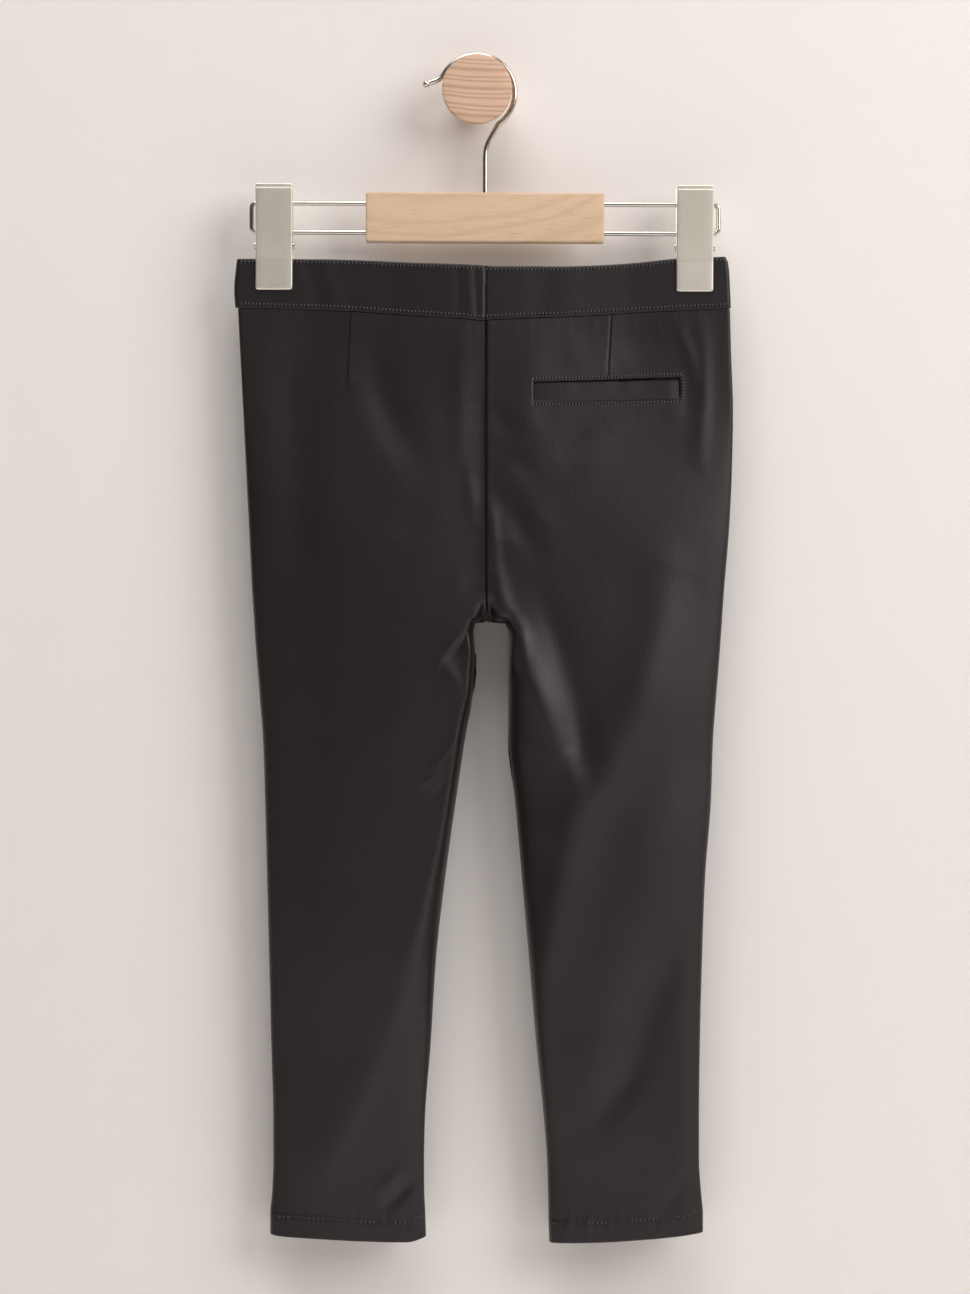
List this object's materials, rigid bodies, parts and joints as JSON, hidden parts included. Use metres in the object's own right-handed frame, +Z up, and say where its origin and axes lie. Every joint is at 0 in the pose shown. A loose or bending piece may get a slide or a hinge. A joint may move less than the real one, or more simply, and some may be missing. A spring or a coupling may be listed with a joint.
{
  "type": "skinny trousers on a clip hanger and wall knob",
  "caption": "Narrow stretch trousers hung by the waistband from a clip hanger with a wooden bar, its hook over a round wooden wall knob, with the back to the front.",
  "frame": {"origin": "centre of the wall knob's flat back face, on the wall", "axes": "+Z up, +Y into the wall, so the back of the trousers faces -Y and the wearer's right is at +X"},
  "size_m": [0.2893, 0.0499, 0.69],
  "materials": {
    "trouser_cloth": "matt stretch twill, very dark charcoal",
    "button_plastic": "plain dark button",
    "bar_wood": "pale beech, matt lacquer",
    "knob_wood": "pale ash, bare",
    "bright_wire": "bright nickel wire",
    "satin_plate": "satin champagne nickel"
  },
  "bodies": {
    "root": {"back_left": "trouser_cloth", "back_right": "trouser_cloth", "front_left": "trouser_cloth", "front_right": "trouser_cloth", "waistband_back_left": "trouser_cloth", "waistband_back_right": "trouser_cloth", "waistband_front_left": "trouser_cloth", "waistband_front_right": "trouser_cloth", "pocket_welt": "trouser_cloth", "fly_placket": "trouser_cloth", "waist_button": "button_plastic", "hanger_bar": "bar_wood", "hanger_rail_left": "bright_wire", "hanger_rail_right": "bright_wire", "hanger_hook": "bright_wire", "clip_left_front": "satin_plate", "clip_left_back": "satin_plate", "clip_left_pin": "bright_wire", "clip_left_spring": "bright_wire", "clip_right_front": "satin_plate", "clip_right_back": "satin_plate", "clip_right_pin": "bright_wire", "clip_right_spring": "bright_wire", "wall_knob": "knob_wood"}
  },
  "joints": []
}
